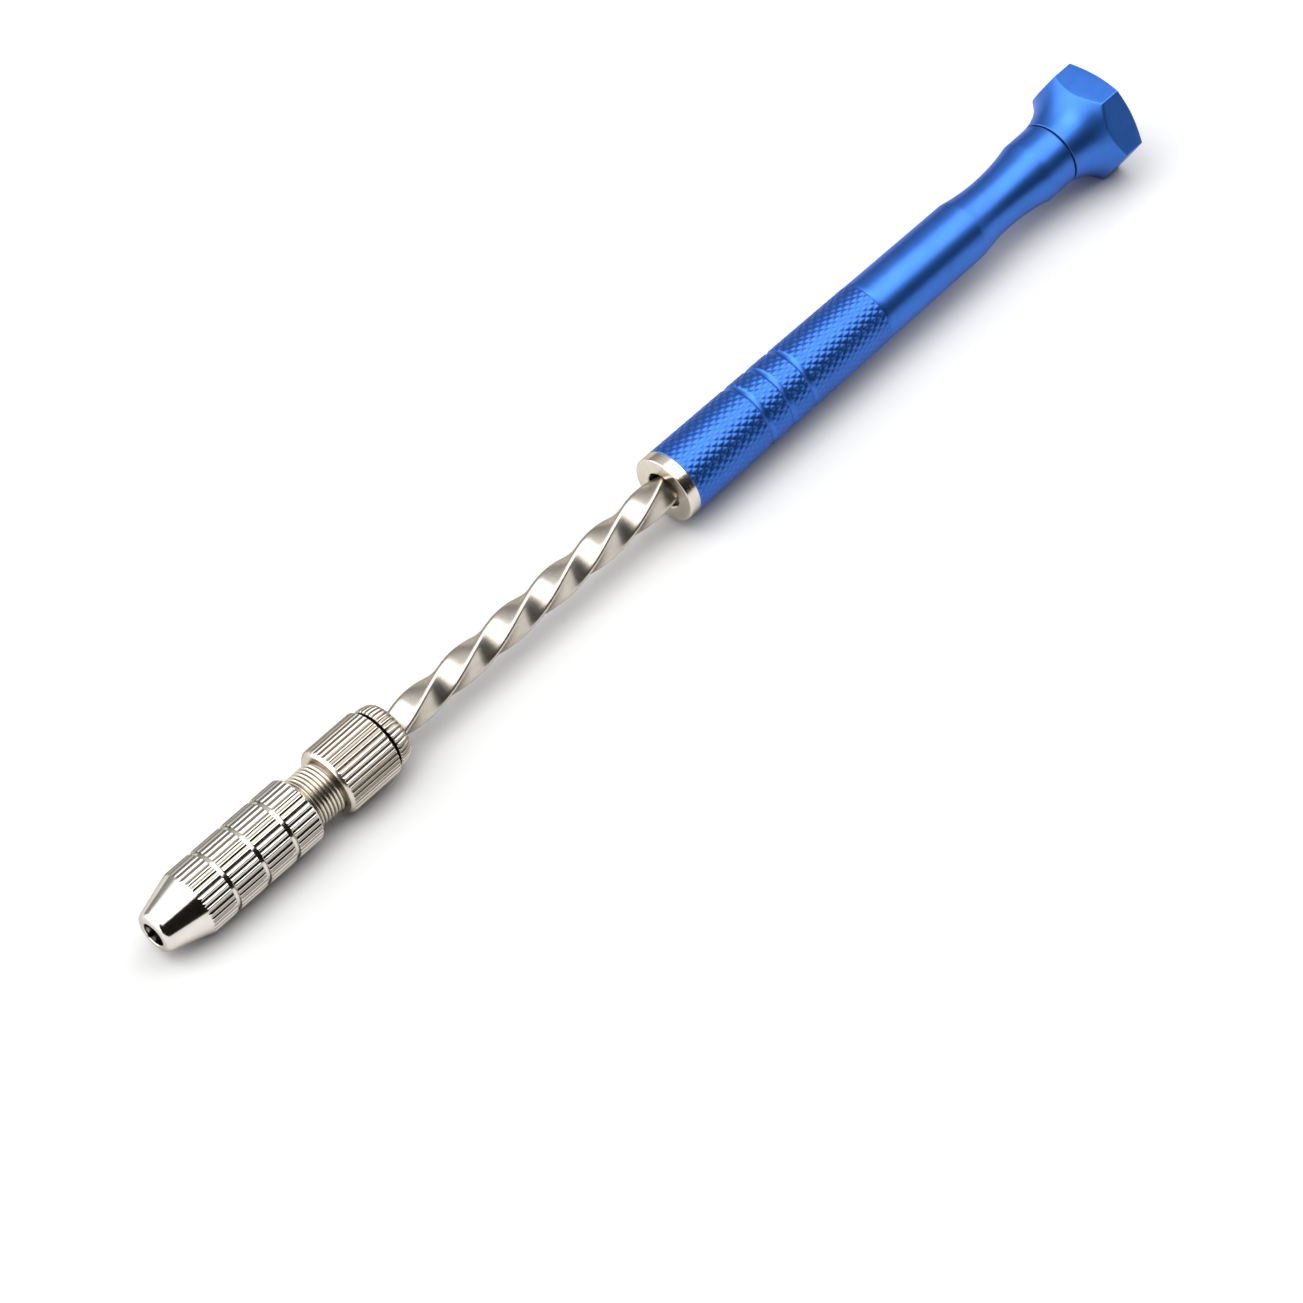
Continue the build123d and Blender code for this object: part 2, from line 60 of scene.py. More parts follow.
# ---------------------------------------------------------------- surface detail
TOOTH_COLUMNS = 12          # mesh columns for each tooth of a straight knurl
SLEEVE_TEETH = 36
SLEEVE_TOOTH_DEPTH = 0.15
BODY_TEETH = 40
BODY_TOOTH_DEPTH = 0.15
TOOTH_SLOPE = 0.38          # from a crest to its valley's floor, as a share of the tooth spacing
RUN_OUT = 0.05              # how far past a chamfer the knurl reaches its full form
UNDER_TEETH = 0.02          # how far under the valleys a plain chamfer meets the knurl
SLEEVE_RINGS = (12.5, 18.7, 24.8)  # plain rings turned through the knurl, behind the nose
SLEEVE_RING_WIDTH = 0.8
SLEEVE_RING_DEPTH = 0.35
GRIP_RINGS = (17.3, 22.2, 27.2)    # behind the start of the grip
GRIP_RING_WIDTH = 1.2
GRIP_RING_DEPTH = 0.32

THREAD_PITCH = 0.7
THREAD_RADIUS = 4.5
THREAD_DEPTH = 0.4
THREAD_ROWS = 6             # mesh rows for each turn of the thread
THREAD_COLUMNS = 96

DIAMOND_STARTS = 30         # grooves of each hand round the grip
DIAMOND_LENGTH = 1.85       # one diamond, along the axis
DIAMOND_CELLS = 6           # mesh cells along each side of a diamond
DIAMOND_DEPTH = 0.10
DIAMOND_GROOVE = 0.38        # half width of a groove, as a share of the groove spacing

# ---------------------------------------------------------------- turned sizes
CONE_LENGTH = 7.5           # length of the nose cone, ahead of the knurl
NOSE_HOLE = 2.05            # radius of the hole through the nose
NOSE_RADIUS = 3.43          # front of the cone, before its rounding
NOSE_ROUNDING = 1.2

BODY_LENGTH = 10.2
STEM_SEAT = 0.4             # how far the threaded stem runs into the body's knurled ring
STEM_BORE = 2.65

SHAFT_SIDE = 4.4
SHAFT_CORNERS = 5.7
SHAFT_LEAD = 41.0
SHAFT_PHASE = math.radians(6.5)  # turn of the square section at x = 0
SHAFT_ROWS = 190            # mesh rows along the twist
JOURNAL_RADIUS = 2.1        # round end of the shaft inside the chuck
JOURNAL_LENGTH = 9.0
TAIL_RADIUS = 2.0

HANDLE_BORE = 3.8
SPIGOT_RADIUS = 4.6         # spigot of the ferrule inside the handle tube
GRIP_LENGTH = 45.4
GRIP_TAPER = 0.3            # how much the grip's radius falls along its length
BARE_LENGTH = 23.5
WAIST_LENGTH = 16.5
WAIST_PLACE = 6.9           # station of WAIST_RADIUS on the waist's arc, behind its start
FLARE_LEAD = 1.5            # how far ahead of the head the flare starts

HEAD_FLAT = 8.8             # from the axis to a flat
HEAD_CORNER = HEAD_FLAT / math.cos(math.pi / 6)
HEAD_EDGE_RADIUS = 0.22     # rounding of the head's six long edges
HEAD_EDGE_LENGTH = 3.9
HEAD_CHAMFER = 0.6
PIVOT_RADIUS = 3.05

SPRING_TURNS = 17
SPRING_WIRE = 0.3           # radius of the wire
SPRING_RADIUS = 3.05        # of the coil, to the middle of the wire


# ---------------------------------------------------------------- places, from the frame
def start_x(node):
    """Where a node starts along the axis, in millimetres."""
    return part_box(node)[0].x / MM


def end_x(node):
    """Where a node ends along the axis, in millimetres."""
    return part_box(node)[1].x / MM


def outer_radius(node):
    """Largest radius of a turned node, in millimetres."""
    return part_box(node)[1].z / MM


NOSE = start_x("chuck_sleeve")
SLEEVE_END = end_x("chuck_sleeve")
SLEEVE_RADIUS = outer_radius("chuck_sleeve")
STEM_START = start_x("chuck_body")
BODY_END = end_x("chuck_body")
BODY_START = BODY_END - BODY_LENGTH
BODY_RADIUS = outer_radius("chuck_body")
COLLAR_END = end_x("chuck_rear_collar")
SHAFT_START = COLLAR_END - 2.5
SHAFT_END = start_x("stop_collar")
TAIL_END = end_x("twisted_shaft")
FERRULE_START = start_x("end_ferrule")
FERRULE_RADIUS = outer_radius("end_ferrule")
SPIGOT_END = end_x("end_ferrule")
NUT_START = start_x("drive_nut")
TUBE_START = start_x("handle_tube")
TUBE_END = end_x("handle_tube")
TUBE_RADIUS = outer_radius("handle_tube")
PLUG_START = start_x("end_plug")
PIVOT_END = end_x("end_plug")
HEAD_START = start_x("hex_head")
HEAD_END = end_x("hex_head")
SPRING_START = start_x("return_spring")
SPRING_END = end_x("return_spring")

CONE_END = NOSE + CONE_LENGTH
KNURL_END = TUBE_START + GRIP_LENGTH
BARE_END = KNURL_END + BARE_LENGTH
WAIST_END = BARE_END + WAIST_LENGTH
BARE_START_RADIUS = 5.58
BARE_END_RADIUS = 5.42
WAIST_RADIUS = 4.7
NECK_RADIUS = 5.68
FLARE_START = HEAD_START - FLARE_LEAD


# ---------------------------------------------------------------- mesh building
def finished(name, points, faces, cavity, smooth_angle):
    """A mesh object from points in millimetres, smooth except across edges sharper than an angle."""
    mesh = bpy.data.meshes.new(name)
    mesh.from_pydata((points * MM).tolist(), [], faces)
    # The cavity attribute is how deep a point sits in a groove; the materials paint shade into the hollows
    # from it.
    attribute = mesh.attributes.new("cavity", "FLOAT", "POINT")
    attribute.data.foreach_set("value", np.asarray(cavity, np.float32))
    shape = bmesh.new()
    shape.from_mesh(mesh)
    bmesh.ops.remove_doubles(shape, verts=shape.verts, dist=0.0005 * MM)
    bmesh.ops.recalc_face_normals(shape, faces=shape.faces)
    shape.to_mesh(mesh)
    shape.free()
    mesh.polygons.foreach_set("use_smooth", [True] * len(mesh.polygons))
    mesh.set_sharp_from_angle(angle=math.radians(smooth_angle))
    piece = bpy.data.objects.new(name, mesh)
    bpy.context.scene.collection.objects.link(piece)
    return piece


def grid_faces(rows, columns, close_rows, close_columns):
    """Four-sided faces of a grid of points; a closed grid's last row or column joins its first."""
    i = np.arange(rows if close_rows else rows - 1)[:, None]
    j = np.arange(columns if close_columns else columns - 1)[None, :]
    here = i * columns
    there = (i + 1) % rows * columns
    j_next = (j + 1) % columns
    corners = [here + j, here + j_next, there + j_next, there + j]
    return np.stack(corners, -1).reshape(-1, 4).tolist()


def place(piece, body, slot, material, *nodes):
    """Gives a piece its material and body, and lets it stand for CAD nodes; the slot argument is not used.
    """
    piece.data.materials.append(material)
    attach(piece, body)
    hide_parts(*nodes)
    return piece


def rounded(corners, steps=5):
    """Points along an outline of (x, radius, rounding) corners, with an arc at each rounded one."""
    points = []
    for index, (x, r, rounding) in enumerate(corners):
        here = np.array((x, r), float)
        if rounding == 0:
            points.append(here)
            continue
        before = np.array(corners[index - 1][:2], float) - here
        after = np.array(corners[index + 1][:2], float) - here
        before /= np.linalg.norm(before)
        after /= np.linalg.norm(after)
        half = math.acos(np.clip(before @ after, -1, 1)) / 2
        middle = before + after
        middle /= np.linalg.norm(middle)
        centre = here + middle * rounding / math.sin(half)
        first = here + before * rounding / math.tan(half) - centre
        last = here + after * rounding / math.tan(half) - centre
        sweep = math.pi - 2 * half
        for step in range(steps + 1):
            share = step / steps
            mixed = first * math.sin((1 - share) * sweep) + last * math.sin(share * sweep)
            points.append(centre + mixed / math.sin(sweep))
    return points


def even_angles(columns):
    """Angles of evenly spaced columns round the axis."""
    return np.arange(columns) * 2 * math.pi / columns


class Skin:
    """Rings of points round the axis, added one after another, that close into one surface."""

    def __init__(self, angles):
        self.angles = np.asarray(angles, float)
        self.x = []
        self.radius = []
        self.cavity = []

    def ring(self, x, radius, cavity=0.0):
        """One ring; each value is a number or an array with a value for every column."""
        blank = np.zeros(len(self.angles))
        self.x.append(blank + x)
        self.radius.append(blank + radius)
        self.cavity.append(blank + cavity)

    def turned(self, corners, steps=5):
        """A plain turned stretch through rounded corners."""
        for x, r in rounded(corners, steps):
            self.ring(x, r)

    def straight(self, x_start, x_end, radius, cavity, rows):
        """A stretch along the axis where each column keeps its own radius."""
        for share in np.linspace(0, 1, rows + 1):
            self.ring(x_start + share * (x_end - x_start), radius, cavity)

    def onto_teeth(self, low, high, radius, cavity, rows=6):
        """A cone from the (x, radius) point low up to high, where teeth of a given radius start."""
        share = (radius - low[1]) / (high[1] - low[1])
        edge = low[0] + share * (high[0] - low[0])
        end = high[0] + math.copysign(RUN_OUT, high[0] - low[0])
        for step in range(rows):
            self.ring(
                low[0] + (edge - low[0]) * step / rows,
                low[1] + (radius - low[1]) * step / rows,
            )
        for step in range(4):
            self.ring(edge + (end - edge) * step / 3, radius, cavity * min(1.0, step / 2))

    def off_teeth(self, high, low, radius, cavity, rows=4):
        """The reverse of onto_teeth: the teeth end on a cone from high down to low."""
        mirror = Skin(self.angles)
        mirror.onto_teeth(low, high, radius, cavity, rows)
        self.x += mirror.x[::-1]
        self.radius += mirror.radius[::-1]
        self.cavity += mirror.cavity[::-1]

    def piece(self, name, smooth_angle=32.0, wraps=True):
        """The finished mesh. The last ring joins the first; columns that don't wrap meet at a seam."""
        x = np.array(self.x)
        radius = np.array(self.radius)
        rows, columns = x.shape
        y = radius * np.cos(self.angles)
        z = radius * np.sin(self.angles)
        points = np.stack([x, y, z], -1).reshape(-1, 3)
        faces = grid_faces(rows, columns, True, wraps)
        return finished(name, points, faces, np.array(self.cavity).ravel(), smooth_angle)


def straight_teeth(angles, teeth, crest_radius, depth):
    """Radius and depth share of a straight knurl: round ridges with plain round valleys between."""
    turn = angles * teeth / (2 * math.pi)
    from_crest = np.abs((turn + 0.5) % 1 - 0.5)
    down = np.clip(from_crest / TOOTH_SLOPE, 0, 1)
    share = down * down * (3 - 2 * down)
    # The second value, 0.8 of the depth share, sets the painted shade in the valleys.
    return crest_radius - depth * share, 0.8 * share


# ---------------------------------------------------------------- chuck
def sleeve_piece():
    """Knurled nose sleeve with its cone, three ring grooves and the bore behind the jaws."""
    skin = Skin(even_angles(SLEEVE_TEETH * TOOTH_COLUMNS))
    teeth, share = straight_teeth(skin.angles, SLEEVE_TEETH, SLEEVE_RADIUS, SLEEVE_TOOTH_DEPTH)
    root = SLEEVE_RADIUS - SLEEVE_TOOTH_DEPTH
    chamfer = 0.12
    slope = (SLEEVE_RADIUS - NOSE_RADIUS) / CONE_LENGTH
    low = (CONE_END - (SLEEVE_TOOTH_DEPTH + UNDER_TEETH) / slope, root - UNDER_TEETH)
    skin.turned([
        (NOSE + 1.7, NOSE_HOLE, 0),
        (NOSE + chamfer, NOSE_HOLE, 0),
        (NOSE, NOSE_HOLE + chamfer, 0.05),
        (NOSE, NOSE_RADIUS, NOSE_ROUNDING),
        (low[0] - 0.01, low[1] - 0.003, 0),
    ], steps=8)
    skin.onto_teeth(low, (CONE_END, SLEEVE_RADIUS), teeth, share)
    x = CONE_END + RUN_OUT
    edge = 0.06
    floor = SLEEVE_RADIUS - SLEEVE_RING_DEPTH
    softened = np.minimum(teeth, SLEEVE_RADIUS - 0.07)
    for ring in SLEEVE_RINGS:
        start = NOSE + ring - SLEEVE_RING_WIDTH / 2
        end = NOSE + ring + SLEEVE_RING_WIDTH / 2
        skin.straight(x, start - edge, teeth, share, 6)
        skin.ring(start, softened, share)
        # The cavity values here paint shade into the ring groove, darkest at its walls.
        skin.ring(start + edge, floor, 0.6)
        skin.ring(NOSE + ring, floor - 0.03, 0.2)
        skin.ring(end - edge, floor, 0.6)
        skin.ring(end, softened, share)
        x = end + edge
    rear = SLEEVE_END - 0.5
    skin.straight(x, rear - 0.1, teeth, share, 6)
    skin.off_teeth((rear, SLEEVE_RADIUS), (SLEEVE_END - 0.1, root - 0.1), teeth, share)
    bore = THREAD_RADIUS + 0.05
    chamber = 4.1
    chamber_start = NOSE + 7.86
    chamber_end = NOSE + 12.06
    skin.turned([
        (SLEEVE_END, root - 0.2, 0),
        (SLEEVE_END, bore + 0.2, 0),
        (SLEEVE_END - 0.2, bore, 0),
        (chamber_end, bore, 0),
        (chamber_end, chamber, 0),
        (chamber_start, chamber, 0),
    ])
    piece = skin.piece("knurled_sleeve")
    return place(piece, "sleeve", "sleeve_nickel", materials["polished_nickel"], "chuck_sleeve")


def thread_piece():
    """Stem of the chuck body: a right-hand screw thread with a plain undercut behind it."""
    skin = Skin(np.linspace(0, 2 * math.pi, THREAD_COLUMNS + 1))
    root = THREAD_RADIUS - THREAD_DEPTH
    first = STEM_START + 0.3
    last = BODY_START - 0.15
    steepness = 1.2
    skin.ring(STEM_START, STEM_BORE)
    skin.ring(STEM_START, root - 0.2)
    turns = int(math.ceil((last - first) / THREAD_PITCH)) + 1
    for row in range(-THREAD_ROWS, turns * THREAD_ROWS + 1):
        x = first + THREAD_PITCH * (row / THREAD_ROWS + skin.angles / (2 * math.pi))
        from_crest = abs((row / THREAD_ROWS) % 1 - 0.5) * 2
        fade = np.clip(np.minimum(x - first, last - x) / (0.5 * THREAD_PITCH), 0, 1)
        share = min(1.0, steepness * (1 - from_crest)) * fade
        # The cavity value paints shade into the thread's roots.
        skin.ring(np.clip(x, first, last), root + THREAD_DEPTH * share, 0.8 * (1 - share))
    # Cavity 1 paints a near-black shade where the stem goes into the body.
    skin.ring(BODY_START + STEM_SEAT, root, 1)
    skin.ring(BODY_START + STEM_SEAT, STEM_BORE)
    piece = skin.piece("chuck_thread", wraps=False)
    return place(piece, "spindle", "body_nickel", materials["satin_nickel"], "chuck_body")


def body_piece():
    """Knurled ring of the chuck body, with a chamfered front rim."""
    skin = Skin(even_angles(BODY_TEETH * TOOTH_COLUMNS))
    teeth, share = straight_teeth(skin.angles, BODY_TEETH, BODY_RADIUS, BODY_TOOTH_DEPTH)
    root = BODY_RADIUS - BODY_TOOTH_DEPTH
    bore = THREAD_RADIUS - THREAD_DEPTH + 0.005
    skin.turned([
        (BODY_START + STEM_SEAT, bore, 0),
        (BODY_START, bore, 0),
        (BODY_START, root - 0.42, 0.08),
        (BODY_START + 0.4, root - 0.03, 0),
    ])
    skin.onto_teeth((BODY_START + 0.42, root - UNDER_TEETH), (BODY_START + 0.65, BODY_RADIUS), teeth, share)
    rear = BODY_END - 0.2
    skin.straight(BODY_START + 0.75, rear - 0.1, teeth, share, 12)
    skin.off_teeth((rear, BODY_RADIUS), (BODY_END, root - 0.05), teeth, share)
    skin.ring(BODY_END, JOURNAL_RADIUS)
    skin.ring(BODY_START + STEM_SEAT, JOURNAL_RADIUS)
    piece = skin.piece("knurled_body")
    return place(piece, "spindle", "body_nickel", materials["satin_nickel"], "chuck_body")


def collar_piece():
    """Domed knurled nut behind the body; its knurl runs on over the dome."""
    skin = Skin(even_angles(BODY_TEETH * TOOTH_COLUMNS))
    rim = outer_radius("chuck_rear_collar")
    x_front = start_x("chuck_rear_collar")
    teeth, share = straight_teeth(skin.angles, BODY_TEETH, 0.0, BODY_TOOTH_DEPTH)
    hole = SHAFT_CORNERS / 2 + 0.05
    groove = rim - 0.9
    groove_width = 0.7
    shoulder = x_front + groove_width
    skin.ring(x_front, JOURNAL_RADIUS)
    # Cavity 1 paints the front groove near black with painted shade.
    skin.ring(x_front, groove, 1)
    skin.ring(shoulder, groove, 1)
    skin.ring(shoulder, rim - 0.25, 1)
    skin.ring(shoulder + 0.15, rim - 0.08 + teeth, share)
    dome = shoulder + 0.3
    back_radius = 4.1
    length = COLLAR_END - dome
    steps = 12
    for step in range(steps + 1):
        turn = step / steps * math.pi / 2
        x = dome + length * math.sin(turn) ** 1.1
        r = back_radius + (rim - back_radius) * math.cos(turn) ** 0.75
        fade = min(1.0, max(0.0, (r - back_radius - 0.12) / 0.35))
        skin.ring(x, r + teeth * fade, share * fade)
    skin.turned([(COLLAR_END, back_radius - 0.1, 0), (COLLAR_END, hole, 0), (SHAFT_START, hole, 0)])
    skin.ring(SHAFT_START, JOURNAL_RADIUS)
    piece = skin.piece("knurled_collar")
    return place(piece, "spindle", "body_nickel", materials["satin_nickel"], "chuck_rear_collar")


# ---------------------------------------------------------------- shaft
def shaft_section():
    """Points of the square section with rounded corners."""
    half = SHAFT_SIDE / 2
    corner_radius = (math.sqrt(2) * half - SHAFT_CORNERS / 2) / (math.sqrt(2) - 1)
    side_points = 8
    arc_points = 6
    quarter = []
    for share in np.linspace(-1, 1, side_points + 1):
        quarter.append(np.array((half, share * (half - corner_radius))))
    for share in np.linspace(0, 1, arc_points + 2)[1:-1]:
        angle = share * math.pi / 2
        centre = half - corner_radius
        quarter.append(centre + corner_radius * np.array((math.cos(angle), math.sin(angle))))
    turned = []
    for corner in range(4):
        angle = corner * math.pi / 2
        turn = np.array(((math.cos(angle), -math.sin(angle)), (math.sin(angle), math.cos(angle))))
        turned += [turn @ point for point in quarter]
    return np.array(turned)


def shaft_piece():
    """Twisted square shaft with its round journal in the chuck and its round tail."""
    section = shaft_section()
    columns = len(section)
    rest_angle = np.arctan2(section[:, 1], section[:, 0])
    rings = []

    def round_ring(x, radius):
        turn = rest_angle + SHAFT_PHASE - 2 * math.pi * x / SHAFT_LEAD
        rings.append(np.stack([np.full(columns, x), radius * np.cos(turn), radius * np.sin(turn)], -1))

    tail_chamfer = 0.2
    round_ring(SHAFT_START - JOURNAL_LENGTH, 0.0)
    round_ring(SHAFT_START - JOURNAL_LENGTH, JOURNAL_RADIUS)
    round_ring(SHAFT_START, JOURNAL_RADIUS)
    for x in np.linspace(SHAFT_START, SHAFT_END, SHAFT_ROWS):
        turn = SHAFT_PHASE - 2 * math.pi * x / SHAFT_LEAD
        y = section[:, 0] * math.cos(turn) - section[:, 1] * math.sin(turn)
        z = section[:, 0] * math.sin(turn) + section[:, 1] * math.cos(turn)
        rings.append(np.stack([np.full(columns, x), y, z], -1))
    round_ring(SHAFT_END, TAIL_RADIUS)
    round_ring(TAIL_END - tail_chamfer, TAIL_RADIUS)
    round_ring(TAIL_END, TAIL_RADIUS - tail_chamfer)
    round_ring(TAIL_END, 0.0)
    points = np.array(rings).reshape(-1, 3)
    faces = grid_faces(len(rings), columns, False, True)
    piece = finished("spiral_shaft", points, faces, np.zeros(len(points)), 32.0)
    return place(piece, "spindle", "shaft_steel", materials["shaft_steel"], "twisted_shaft")


# ---------------------------------------------------------------- handle
def ferrule_piece():
    """Bright ferrule in front of the grip, with the spigot that carries the drive nut."""
    skin = Skin(even_angles(128))
    hole = 3.2
    skin.turned([
        (NUT_START, HANDLE_BORE, 0),
        (NUT_START, hole, 0),
        (FERRULE_START + 0.15, hole, 0),
        (FERRULE_START, hole + 0.15, 0),
        (FERRULE_START, FERRULE_RADIUS, 0.25),
        (TUBE_START, FERRULE_RADIUS, 0.08),
        (TUBE_START, SPIGOT_RADIUS, 0),
        (SPIGOT_END, SPIGOT_RADIUS, 0),
        (SPIGOT_END, HANDLE_BORE, 0),
    ], steps=6)
    piece = skin.piece("front_ferrule")
    return place(piece, "handle", "body_nickel", materials["satin_nickel"], "end_ferrule")


def tube_radius(x):
    """Outer radius of the turned handle at a station, before it is knurled."""
    if x <= KNURL_END:
        return TUBE_RADIUS - GRIP_TAPER * (x - TUBE_START) / GRIP_LENGTH
    if x <= BARE_END:
        fall = BARE_START_RADIUS - BARE_END_RADIUS
        return BARE_START_RADIUS - fall * (x - KNURL_END) / BARE_LENGTH
    if x <= WAIST_END:
        waist = (BARE_END + WAIST_PLACE, WAIST_RADIUS)
        return arc_radius(x, (BARE_END, BARE_END_RADIUS), waist, (WAIST_END, NECK_RADIUS))
    return NECK_RADIUS if x <= FLARE_START else flare_radius(x)


def arc_radius(x, first, middle, last):
    """Radius at a station on the circular arc through three (x, radius) points, hollow side out."""
    (ax, ay), (bx, by), (cx, cy) = first, middle, last
    d = 2 * (ax * (by - cy) + bx * (cy - ay) + cx * (ay - by))
    sums = [px * px + py * py for px, py in (first, middle, last)]
    centre_x = (sums[0] * (by - cy) + sums[1] * (cy - ay) + sums[2] * (ay - by)) / d
    centre_r = (sums[0] * (cx - bx) + sums[1] * (ax - cx) + sums[2] * (bx - ax)) / d
    radius = math.hypot(ax - centre_x, ay - centre_r)
    return centre_r - math.sqrt(radius * radius - (x - centre_x) ** 2)


def groove_share(phase):
    """Depth share of one family of knurl grooves: 1 on a groove's line, 0 on the lands between."""
    from_line = abs((phase + 0.5) % 1 - 0.5)
    return max(0.0, 1 - from_line / DIAMOND_GROOVE)


def ring_floor(x):
    """Radius that the three hollow rings through the grip leave."""
    for ring in GRIP_RINGS:
        away = abs(x - TUBE_START - ring) * 2 / GRIP_RING_WIDTH
        if away < 1:
            return tube_radius(x) - GRIP_RING_DEPTH * (1 - away ** 2) ** 0.6
    return math.inf


def tube_piece():
    """Blue handle tube. The grip's mesh follows both hands of groove, so each diamond is crisp."""
    per_ring = DIAMOND_STARTS * DIAMOND_CELLS
    half_cell = DIAMOND_LENGTH / (2 * DIAMOND_CELLS)
    knurl_rows = int((KNURL_END - TUBE_START - 0.5) / half_cell)
    knurl_start = KNURL_END - 0.12 - knurl_rows * half_cell
    rings = []

    def ring(x, radius, cavity=0.0, shift=0):
        angles = (np.arange(per_ring) + shift / 2) * 2 * math.pi / per_ring
        blank = np.zeros(per_ring)
        rings.append((blank + x, blank + radius, angles, blank + cavity, shift))

    spigot = SPIGOT_RADIUS + 0.01
    ring(TUBE_START, spigot)
    ring(TUBE_START, TUBE_RADIUS - 0.12)
    ring(TUBE_START + 0.12, TUBE_RADIUS - 0.02)
    for row in range(knurl_rows + 1):
        x = knurl_start + row * half_cell
        shift = row % 2
        steps = 2 * np.arange(per_ring) + shift
        left_hand = (steps + row) / (2 * DIAMOND_CELLS)
        right_hand = (steps - row) / (2 * DIAMOND_CELLS)
        share = np.array([max(groove_share(a), groove_share(b)) for a, b in zip(left_hand, right_hand)])
        floor = ring_floor(x)
        radius = np.minimum(tube_radius(x) - DIAMOND_DEPTH * share, floor)
        # Inside the knurl the cavity value paints shade into the grooves; the ring floors get none.
        ring(x, radius, share if floor == math.inf else 0.0, shift)
    # The cavity values here paint shade into the step at the end of the knurl.
    ring(KNURL_END, BARE_START_RADIUS - 0.1, 0.8)
    ring(KNURL_END + 0.1, BARE_START_RADIUS - 0.08, 0.3)
    ring(KNURL_END + 0.25, BARE_START_RADIUS)
    stretches = (
        (KNURL_END + 1, BARE_END - 0.4, 12),
        (BARE_END - 0.15, BARE_END + 1.0, 6),
        (BARE_END + 1.4, WAIST_END - 1.4, 30),
        (WAIST_END - 1.0, WAIST_END + 0.15, 6),
        (WAIST_END + 0.5, TUBE_END - 0.2, 8),
    )
    for first, last, count in stretches:
        for x in np.linspace(first, last, count):
            ring(x, tube_radius(x))
    ring(TUBE_END - 0.08, tube_radius(TUBE_END - 0.08))
    ring(TUBE_END, tube_radius(TUBE_END) - 0.08)
    plug = 4.41
    ring(TUBE_END, plug)
    ring(PLUG_START, plug)
    ring(PLUG_START, HANDLE_BORE)
    ring(SPIGOT_END, HANDLE_BORE)
    ring(SPIGOT_END, spigot)
    x, radius, angles, cavity, shifts = (np.array(part) for part in zip(*rings))
    points = np.stack([x, radius * np.cos(angles), radius * np.sin(angles)], -1).reshape(-1, 3)
    faces = []
    rows = len(rings)
    for i in range(rows):
        i_next = (i + 1) % rows
        here = i * per_ring
        there = i_next * per_ring
        for j in range(per_ring):
            j_next = (j + 1) % per_ring
            if shifts[i] == shifts[i_next]:
                faces.append((here + j, here + j_next, there + j_next, there + j))
            elif shifts[i] == 0:
                faces.append((here + j, here + j_next, there + j))
                faces.append((here + j_next, there + j_next, there + j))
            else:
                faces.append((here + j, there + j_next, there + j))
                faces.append((here + j, here + j_next, there + j_next))
    piece = finished("grip_tube", points, faces, cavity.ravel(), 32.0)
    return place(piece, "handle", "blue_anodised", materials["blue_anodised"], "handle_tube")


# ---------------------------------------------------------------- head
def flare_arc():
    """Radius of the hollow arc that carries the neck out to the head's corners."""
    run = HEAD_END - HEAD_CHAMFER - HEAD_EDGE_LENGTH - FLARE_START
    rise = HEAD_CORNER - NECK_RADIUS
    return (run * run + rise * rise) / (2 * rise)


def flare_radius(x):
    """Radius of the flare at a station along the axis."""
    radius = flare_arc()
    return NECK_RADIUS + radius - math.sqrt(radius * radius - (x - FLARE_START) ** 2)


def flare_station(r):
    """Station at which the flare has a given radius."""
    radius = flare_arc()
    return FLARE_START + np.sqrt(radius * radius - (radius - (r - NECK_RADIUS)) ** 2)


def hexagon_columns():
    """Angles and radii round a hexagon with rounded corners; columns crowd at the corners."""
    centre = (HEAD_FLAT - HEAD_EDGE_RADIUS) / math.cos(math.pi / 6)
    half_corner = math.atan2(
        HEAD_EDGE_RADIUS * math.sin(math.pi / 6),
        centre + HEAD_EDGE_RADIUS * math.cos(math.pi / 6),
    )
    inside = np.linspace(-half_corner, half_corner, 7)
    shares = np.array((0.04, 0.12, 0.25, 0.4, 0.55, 0.7, 0.85, 1.0))
    beside = half_corner + (math.pi / 6 - half_corner) * shares
    one_side = np.concatenate([-beside[-2::-1], inside, beside])
    angles = []
    radii = []
    for corner in range(6):
        for away in one_side:
            angles.append(corner * math.pi / 3 + away)
            if abs(away) <= half_corner:
                along = centre * math.cos(away)
                across = centre * math.sin(away)
                radii.append(along + math.sqrt(HEAD_EDGE_RADIUS ** 2 - across ** 2))
            else:
                radii.append(HEAD_FLAT / math.cos(math.pi / 6 - abs(away)))
    return np.array(angles), np.array(radii)


